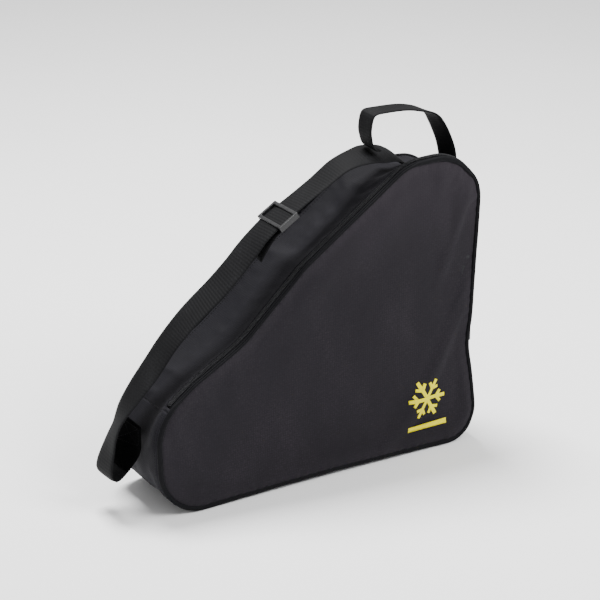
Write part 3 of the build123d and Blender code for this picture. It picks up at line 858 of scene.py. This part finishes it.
def lay_on(tree, points, directions, reach=30.0):
    """Drops points on a surface, from outside, against the directions."""
    laid, up = [], []
    for p, d in zip(points, directions):
        hit, normal, index, gap = tree.ray_cast(Vector(p + d * reach), Vector(-d), 2 * reach)
        if hit is not None:
            normal = np.array(normal)
            laid.append(np.array(hit))
            up.append(normal if normal @ d > 0 else -normal)
    return np.array(laid), np.array(up)


base_tree, upper_tree, front_tree = tree_of(base_gusset), tree_of(upper_gusset), tree_of(front_panel)


def row_round(tree, ring, out, depth, side, rows):
    centres, normals, sides = ring_frame(ring, out, 0.0, depth, side)
    return lay_on(tree, centres[rows], normals[rows])


start_row = int(np.argmax(FRONT[:, 0] * (np.abs(FRONT[:, 1] - HEEL_SEAM_Z) < 4)))
around_base = [(start_row + k) % RING_N for k in range(RING_N)]
around_base = [i for i in around_base if FRONT[i, 1] < (HEEL_SEAM_Z - 2 if FRONT[i, 0] > 0 else FOLD_Z - 2)]
over_top = [i for i in range(RING_N) if FRONT[i, 1] > ZIP_Z + 2]
base_lines = [
    row_round(base_tree, FRONT, FRONT_OUT, SEAM_ROW, 1, around_base),
    row_round(base_tree, BACK, BACK_OUT, SEAM_ROW, -1, around_base),
]
upper_lines = [
    row_round(upper_tree, FRONT, FRONT_OUT, ZIP_DEPTH + 2.0, 1, over_top),
    row_round(upper_tree, BACK, BACK_OUT, SEAM_ROW, -1, over_top),
]


def across_row(tree, x, z, out):
    """A row of stitches straight across the gusset, at one height."""
    ys = np.arange(-44.0, 44.1, 2.0)
    points = np.array([(x, y, z) for y in ys])
    return lay_on(tree, points, np.repeat(np.array(out, float)[None], len(ys), axis=0))


seam_lines = [
    across_row(base_tree, TOE_X, FOLD_Z - 4.0, (-1, 0, 0)),
    across_row(upper_tree, TOE_X + 400.0, HEEL_SEAM_Z + 4.0, (1, 0, 0)),
]
gusset_stitches = stitches("gusset_stitches", base_lines + upper_lines + seam_lines)


def box_rows(tree, corners, direction):
    """Stitches round a rectangle and along its diagonals, laid on a surface."""
    a, b, c, d = (np.array(p, float) for p in corners)
    lines = []
    for p, q in ((a, b), (b, c), (c, d), (d, a), (a, c), (b, d)):
        count = max(3, int(np.linalg.norm(q - p) / 2))
        points = np.array([p + (q - p) * t for t in np.linspace(0, 1, count)])
        lines.append(lay_on(tree, points, np.repeat(np.array(direction, float)[None], count, axis=0)))
    return [line for line in lines if len(line[0]) > 2]


toe_box = [(TOE_X - 4, y, z) for y, z in ((-15, 74), (15, 74), (15, 93), (-15, 93))]
top_box = [(TOE_X + x, y, 314) for x, y in ((343, -15), (343, 15), (357, 15), (357, -15))]
strap_stitches = stitches(
    "strap_end_stitches",
    box_rows(tree_of(strap_end_toe), toe_box, (-1, 0, 0)) + box_rows(tree_of(strap), top_box, (0, 0, 1)),
    pitch=3.0, length=2.3,
)

# ---- printed emblem ----
EMBLEM_X, EMBLEM_Z, EMBLEM_R = 335.0, 62.0, 24.0


def bar_shape(x, z, angle, start, end, half):
    """A rectangle that points away from (x, z) at an angle."""
    d = np.array((math.cos(angle), math.sin(angle)))
    n = np.array((-d[1], d[0]))
    c = np.array((x, z))
    first, last = c + d * start, c + d * end
    return [first - n * half, last - n * half, last + n * half, first + n * half]


shapes = []
for arm in range(6):
    angle = math.radians(60 * arm)
    shapes.append(bar_shape(EMBLEM_X, EMBLEM_Z, angle, -1.5, EMBLEM_R, 2.2))
    knee = np.array((EMBLEM_X, EMBLEM_Z)) + 12.5 * np.array((math.cos(angle), math.sin(angle)))
    for turn in (-1, 1):
        shapes.append(bar_shape(*knee, angle + turn * math.radians(52), -1.0, 8.5, 1.8))
shapes.append([np.array(p, float) for p in ((309, 27), (361, 27), (361, 33), (309, 33))])
flat_points, flat_faces = [], []
for shape in shapes:
    flat_faces.append(list(range(len(flat_points), len(flat_points) + 4)))
    flat_points += shape
for x in np.arange(305, 366, 2.5):
    for z in np.arange(24, 92, 2.5):
        flat_points.append(np.array((x + 0.37, z + 0.21)))
cut = delaunay_2d_cdt([Vector(p) for p in flat_points], [], flat_faces, 1, 1e-5)
used = sorted({v for face in cut[2] for v in face})
number = {v: k for k, v in enumerate(used)}
print_points = np.array([(cut[0][v][0] + TOE_X, -60.0, cut[0][v][1]) for v in used])
laid, up = lay_on(front_tree, print_points, np.repeat(np.array((0.0, -1.0, 0.0))[None], len(used), axis=0))
emblem_faces = [tuple(number[v] for v in face) for face in cut[2]]
emblem = make_mesh("emblem", laid + np.array((0, -0.12, 0)), emblem_faces, laid[:, [0, 2]])
thicken(emblem, 0.22, 1.0).modifiers["thickness"].use_even_offset = False


# ---- materials ----
class Nodes:
    """Short calls for building a material's nodes."""

    def __init__(self, name):
        self.material = bpy.data.materials.new(name)
        self.material.use_nodes = True
        self.tree = self.material.node_tree
        self.shader = self.tree.nodes["Principled BSDF"]

    def add(self, kind, **values):
        node = self.tree.nodes.new("ShaderNode" + kind)
        for key, value in values.items():
            if key in node.inputs:
                node.inputs[key].default_value = value
            else:
                setattr(node, key, value)
        return node

    def link(self, a, b):
        self.tree.links.new(a, b)

    def math(self, kind, a, b):
        node = self.add("Math", operation=kind)
        for socket, value in zip(node.inputs, (a, b)):
            if isinstance(value, (int, float)):
                socket.default_value = value
            else:
                self.link(value, socket)
        return node.outputs[0]

    def stretched(self, vector, scale):
        mapping = self.add("Mapping")
        mapping.inputs["Scale"].default_value = scale
        self.link(vector, mapping.inputs["Vector"])
        return mapping.outputs[0]

    def place(self, scale):
        """The cloth's own map, stretched."""
        return self.stretched(self.add("Attribute", attribute_name="cloth").outputs["Vector"], scale)

    def object_place(self, scale):
        return self.stretched(self.add("TexCoord").outputs["Object"], scale)

    def noise(self, vector, scale, detail=2.0, roughness=0.5):
        node = self.add("TexNoise", Scale=scale, Detail=detail, Roughness=roughness)
        self.link(vector, node.inputs["Vector"])
        return node.outputs["Fac"]

    def bands(self, vector, scale, direction, distortion=0.0):
        node = self.add("TexWave", Scale=scale, Distortion=distortion, bands_direction=direction)
        node.inputs["Detail Scale"].default_value = 2.0
        self.link(vector, node.inputs["Vector"])
        return node.outputs["Fac"]

    def ramp(self, value, stops):
        node = self.add("ValToRGB")
        elements = node.color_ramp.elements
        while len(elements) < len(stops):
            elements.new(0.5)
        for element, (at, colour) in zip(elements, stops):
            element.position = at
            element.color = (*colour, 1.0)
        self.link(value, node.inputs["Fac"])
        return node.outputs["Color"]

    def mix(self, factor, a, b, kind="MIX"):
        node = self.add("Mix", data_type="RGBA", blend_type=kind)
        for socket, value in ((node.inputs["Factor"], factor), (node.inputs[6], a), (node.inputs[7], b)):
            if isinstance(value, (int, float)):
                socket.default_value = value
            elif isinstance(value, tuple):
                socket.default_value = (*value, 1.0)
            else:
                self.link(value, socket)
        return node.outputs[2]

    def bump(self, height, strength, distance, under=None):
        node = self.add("Bump", Strength=strength, Distance=distance)
        self.link(height, node.inputs["Height"])
        if under is not None:
            self.link(under, node.inputs["Normal"])
        return node.outputs["Normal"]

    def finish(self, colour, roughness, normal, sheen=0.0, specular=0.5, metallic=0.0, coat=0.0):
        self.link(colour, self.shader.inputs["Base Color"])
        if isinstance(roughness, (int, float)):
            self.shader.inputs["Roughness"].default_value = roughness
        else:
            self.link(roughness, self.shader.inputs["Roughness"])
        self.link(normal, self.shader.inputs["Normal"])
        self.shader.inputs["Sheen Weight"].default_value = sheen
        self.shader.inputs["Sheen Roughness"].default_value = 0.45
        self.shader.inputs["Sheen Tint"].default_value = (0.62, 0.60, 0.68, 1.0)
        self.shader.inputs["Specular IOR Level"].default_value = specular
        self.shader.inputs["Metallic"].default_value = metallic
        self.shader.inputs["Coat Weight"].default_value = coat
        return self.material


def scaled(colour, factor):
    return tuple(c * factor for c in colour)


def woven(name, colour, light, thread_mm, bump, sheen, rough=0.78, mottle=0.35, specular=0.08):
    """Woven cloth: two sets of threads, flecks of lighter yarn, and slow changes of tone."""
    n = Nodes(name)
    cloth = n.place((1.0, 1.0, 1.0))
    waves = 0.5 / (thread_mm * MM) / 10.0 * 2.0
    warp = n.bands(cloth, waves, "X", 0.6)
    weft = n.bands(cloth, waves, "Y", 0.6)
    weave = n.math("MAXIMUM", warp, weft)
    flecks_a = n.noise(n.place((260.0, 1500.0, 1.0)), 1.0, 3.0, 0.65)
    flecks_b = n.noise(n.place((1500.0, 260.0, 1.0)), 1.0, 3.0, 0.65)
    flecks = n.math("MULTIPLY", n.math("ADD", flecks_a, flecks_b), 0.5)
    blotches = n.noise(n.place((1.3, 0.6, 1.0)), 16.0, 3.0, 0.5)
    tone = n.math("ADD", n.math("MULTIPLY", flecks, 0.74), n.math("MULTIPLY", blotches, 0.26))
    low = 0.5 - 0.5 * mottle
    high = 0.5 + 0.5 * mottle
    base = n.ramp(tone, [(low, scaled(colour, 0.72)), (0.5, colour), (high, light)])
    threads = n.mix(n.math("MULTIPLY", weave, 0.4), base, scaled(colour, 0.55))
    # The cloth is mixed towards its light tone by seam wear and by a painted highlight at a panel's top.
    wear_and_top_light = n.add("Attribute", attribute_name="wear_and_top_light").outputs["Fac"]
    worn_and_top_lit = n.mix(n.math("MULTIPLY", wear_and_top_light, 0.22), threads, light)
    rough_map = n.math("ADD", n.math("MULTIPLY", blotches, 0.14), rough - 0.07)
    fine = n.bump(weave, bump, 0.0003)
    normal = n.bump(n.noise(cloth, 90.0, 3.0, 0.6), 0.22, 0.0012, fine)
    return n.finish(worn_and_top_lit, rough_map, normal, sheen, specular)


def ribbed(name, colour, light, rib_mm, bump, sheen, rough=0.66, specular=0.06):
    """Webbing: ribs across its width, with a herringbone slant and a little colour change."""
    n = Nodes(name)
    cloth = n.place((1.0, 1.0, 1.0))
    rate = 1.0 / (rib_mm * MM) / 10.0
    ribs = n.bands(cloth, rate, "X", 0.3)
    slant = n.bands(cloth, rate * 1.3, "DIAGONAL", 0.3)
    weave = n.math("ADD", n.math("MULTIPLY", ribs, 0.75), n.math("MULTIPLY", slant, 0.25))
    flecks = n.noise(n.place((900.0, 300.0, 300.0)), 1.0, 2.0, 0.6)
    patches = n.noise(cloth, 20.0, 3.0, 0.5)
    tone = n.math("ADD", n.math("MULTIPLY", flecks, 0.5), n.math("MULTIPLY", patches, 0.5))
    base = n.ramp(tone, [(0.35, scaled(colour, 0.75)), (0.52, colour), (0.7, light)])
    threads = n.mix(n.math("MULTIPLY", weave, 0.2), base, scaled(colour, 0.6))
    rough_map = n.math("ADD", n.math("MULTIPLY", patches, 0.12), rough - 0.06)
    normal = n.bump(weave, bump, 0.0004)
    return n.finish(threads, rough_map, normal, sheen, specular)


def moulded(name, colour, light, rough, coat=0.0, metallic=0.0, specular=0.5):
    """Moulded plastic or cast metal: fine grain, handling marks and a little colour change."""
    n = Nodes(name)
    grain = n.noise(n.object_place((1.0, 1.0, 1.0)), 1400.0, 3.0, 0.6)
    marks = n.noise(n.object_place((1.0, 1.0, 0.35)), 260.0, 4.0, 0.7)
    base = n.ramp(marks, [(0.35, scaled(colour, 0.8)), (0.55, colour), (0.75, light)])
    rough_map = n.math("ADD", n.math("MULTIPLY", marks, 0.2), rough - 0.1)
    normal = n.bump(grain, 0.12, 0.0002)
    return n.finish(base, rough_map, normal, 0.0, specular, metallic, coat)


def ink(name, colour):
    """Printed ink over the weave, cracked a little and thinned in spots."""
    n = Nodes(name)
    cloth = n.place((1.0, 1.0, 1.0))
    weave = n.math("MAXIMUM", n.bands(cloth, 110.0, "X", 0.5), n.bands(cloth, 110.0, "Y", 0.5))
    spots = n.noise(cloth, 420.0, 4.0, 0.7)
    base = n.ramp(spots, [(0.28, scaled(colour, 0.8)), (0.45, colour), (0.8, scaled(colour, 1.08))])
    rough_map = n.math("ADD", n.math("MULTIPLY", spots, 0.2), 0.45)
    return n.finish(base, rough_map, n.bump(weave, 0.25, 0.0002), 0.0, 0.12)


PANEL = woven(
    "panel_melange", (0.0136, 0.0122, 0.0151), (0.033, 0.028, 0.034),
    0.9, 0.35, 0.05, 0.8, 0.42,
)
GUSSET_CLOTH = woven(
    "gusset_weave", (0.0086, 0.0082, 0.0106), (0.017, 0.0162, 0.0205),
    0.7, 0.4, 0.04, 0.72, 0.42,
)
LINING = woven("lining", (0.050, 0.050, 0.055), (0.085, 0.085, 0.09), 0.6, 0.2, 0.02, 0.6, 0.4)
PIPING_CLOTH = woven(
    "piping_weave", (0.004, 0.004, 0.005), (0.010, 0.010, 0.011),
    0.6, 0.35, 0.02, 0.7, 0.4,
)
BINDING = ribbed("binding_tape", (0.02, 0.02, 0.022), (0.04, 0.04, 0.043), 0.9, 0.3, 0.05)
WEBBING = ribbed("webbing_ribs", (0.0068, 0.0068, 0.0074), (0.0138, 0.0138, 0.015), 1.1, 0.4, 0.0)
# Painted shade: a darker copy of the webbing for the strap's end at the toe, standing in for the shadow it
# lies in.
WEBBING_PAINTED_SHADE = ribbed(
    "webbing_painted_shade", (0.0022, 0.0022, 0.0024), (0.005, 0.005, 0.0055),
    1.1, 0.4, 0.0, 0.8, 0.02,
)
TAPE = ribbed("zip_tape_weave", (0.006, 0.006, 0.007), (0.013, 0.013, 0.014), 0.8, 0.4, 0.02, 0.75)
COIL = moulded("coil_nylon", (0.012, 0.012, 0.014), (0.026, 0.026, 0.029), 0.45, 0.0, 0.0, 0.25)
THREAD = moulded("thread", (0.005, 0.005, 0.0056), (0.011, 0.011, 0.012), 0.7, 0.0, 0.0, 0.1)
PLASTIC = moulded(
    "buckle_plastic_black", (0.010, 0.010, 0.011), (0.020, 0.020, 0.022),
    0.36, 0.05, 0.0, 0.35,
)
METAL = moulded("zip_metal_black", (0.028, 0.028, 0.030), (0.060, 0.060, 0.062), 0.35, 0.3, 0.7)
INK = ink("emblem_yellow", (0.70, 0.62, 0.0))


def dress(piece, material, nodes):
    """Gives a piece its material and hides the CAD nodes that it stands for."""
    piece.data.materials.clear()
    piece.data.materials.append(material)
    if piece in (front_panel, back_panel, base_gusset, upper_gusset):
        piece.data.materials.append(LINING)
        piece.modifiers["thickness"].material_offset = 1
    if nodes:
        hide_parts(*nodes)


# Kept CAD pieces get rounded edges and their own materials.
for node, material, edge in (
    ("zip_slider", METAL, 0.35),
    ("zip_pull", METAL, 0.35),
    ("zip_stops", METAL, 0.4),
    ("tri_glide", PLASTIC, 0.8),
):
    obj = frame["nodes"][node]
    weld = obj.modifiers.new("weld", "WELD")
    weld.merge_threshold = 0.00001
    bevel = obj.modifiers.new("bevel", "BEVEL")
    bevel.width = edge * MM
    bevel.segments = 3
    bevel.limit_method = "ANGLE"
    bevel.angle_limit = math.radians(40)
    for slot in obj.material_slots:
        slot.material = material

# ---- bodies ----
def hinge_band(joint_name, below, above):
    """Two points either side of a joint's axis, in the XZ plane."""
    joint = next(j for j in frame["joints"] if j["name"] == joint_name)
    at = np.array(joint["pos_m"], float)
    axis = unit(joint["axis"])
    up = unit(np.cross(axis, (0.0, 1.0, 0.0)))
    if up[2] < 0:
        up = -up
    return tuple(at - up * below * MM), tuple(at + up * above * MM)


fold_y = float(near_y(FOLD_Z)) * MM
FOLD = ((0.0, fold_y, (FOLD_Z - 10) * MM), (0.0, fold_y, (FOLD_Z + 10) * MM))

# Pieces that cross a joint, only dressed and baked in place: material, slot, the CAD nodes each stands for,
# second body, the bend.
for piece, material, slot, nodes, body, ends in (
    (front_panel, PANEL, "panel_cloth", ("front_panel_lower", "front_panel_upper"), "flap", FOLD),
    (front_piping, PIPING_CLOTH, "piping_cloth", ("front_piping_lower", "front_piping_upper"), "flap", FOLD),
    (front_binding, BINDING, "binding_tape", ("front_binding_lower", "front_binding_upper"), "flap", FOLD),
    (
        strap, WEBBING, "webbing", ("shoulder_strap", "strap_end_top"),
        "shoulder_strap", hinge_band("strap_swing", 1.0, 12.0),
    ),
    (
        handle, WEBBING, "webbing", ("carry_handle", "handle_foot_front", "handle_foot_rear"),
        "carry_handle", hinge_band("handle_lean", 5.0, 9.0),
    ),
):
    dress(piece, material, nodes)
    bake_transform(piece)

# Pieces that ride on one body: material, slot, body, the CAD nodes each stands for.
for piece, material, slot, body, *nodes in (
    (back_panel, PANEL, "panel_cloth", "root", "back_panel"),
    (back_piping, PIPING_CLOTH, "piping_cloth", "root", "back_piping"),
    (back_binding, BINDING, "binding_tape", "root", "back_binding"),
    (base_gusset, GUSSET_CLOTH, "gusset_cloth", "root", "base_gusset"),
    (upper_gusset, GUSSET_CLOTH, "gusset_cloth", "root", "upper_gusset"),
    (zip_tape_flap, TAPE, "zip_tape", "flap", "zip_tape_flap"),
    (zip_coil_flap, COIL, "zip_coil", "flap", "zip_coil_flap"),
    (zip_tape_gusset, TAPE, "zip_tape", "root", "zip_tape_gusset"),
    (zip_coil_gusset, COIL, "zip_coil", "root", "zip_coil_gusset"),
    (gusset_stitches, THREAD, "gusset_cloth", "root"),
    # The strap's end at the toe gets the darker webbing copy, as painted shade.
    (strap_end_toe, WEBBING_PAINTED_SHADE, "webbing", "root", "strap_end_toe"),
    (strap_stitches, THREAD, "webbing", "root"),
    (strap_tail, WEBBING, "webbing", "shoulder_strap", "strap_tail"),
    (emblem, INK, "emblem_ink", "root", "emblem_print"),
):
    dress(piece, material, nodes)
    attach(piece, body)

# ---- floor, light and background ----
floor_corners = [(4000 * x, 4000 * y, 0) for x, y in ((-1, -1), (1, -1), (1, 1), (-1, 1))]
floor = make_mesh("floor", floor_corners, [(0, 1, 2, 3)])
n = Nodes("floor_paper")
mottle = n.noise(n.object_place((1.0, 1.0, 1.0)), 3.0, 3.0, 0.5)
tone = n.ramp(mottle, [(0.3, (0.96, 0.96, 0.96)), (0.7, (0.98, 0.98, 0.98))])
paper = n.bump(n.noise(n.object_place((1, 1, 1)), 900.0), 0.02, 0.0002)
floor.data.materials.append(n.finish(tone, 0.9, paper))

world = bpy.data.worlds.new("studio")
world.use_nodes = True
background = world.node_tree.nodes["Background"]
background.inputs["Color"].default_value = (1.0, 1.0, 1.0, 1.0)
background.inputs["Strength"].default_value = 0.64
bpy.context.scene.world = world


def softbox(name, place, aim, width, height, power):
    data = bpy.data.lights.new(name, "AREA")
    data.shape = "RECTANGLE"
    data.size, data.size_y = width, height
    data.energy = power
    obj = bpy.data.objects.new(name, data)
    bpy.context.collection.objects.link(obj)
    obj.location = place
    obj.rotation_euler = (Vector(aim) - Vector(place)).to_track_quat("-Z", "Y").to_euler()


softbox("key_light", (0.9, -1.6, 1.9), (0.0, 0.0, 0.15), 1.2, 1.2, 70)
softbox("top_light", (0.0, 0.7, 2.1), (0.0, 0.0, 0.1), 0.8, 0.8, 95)
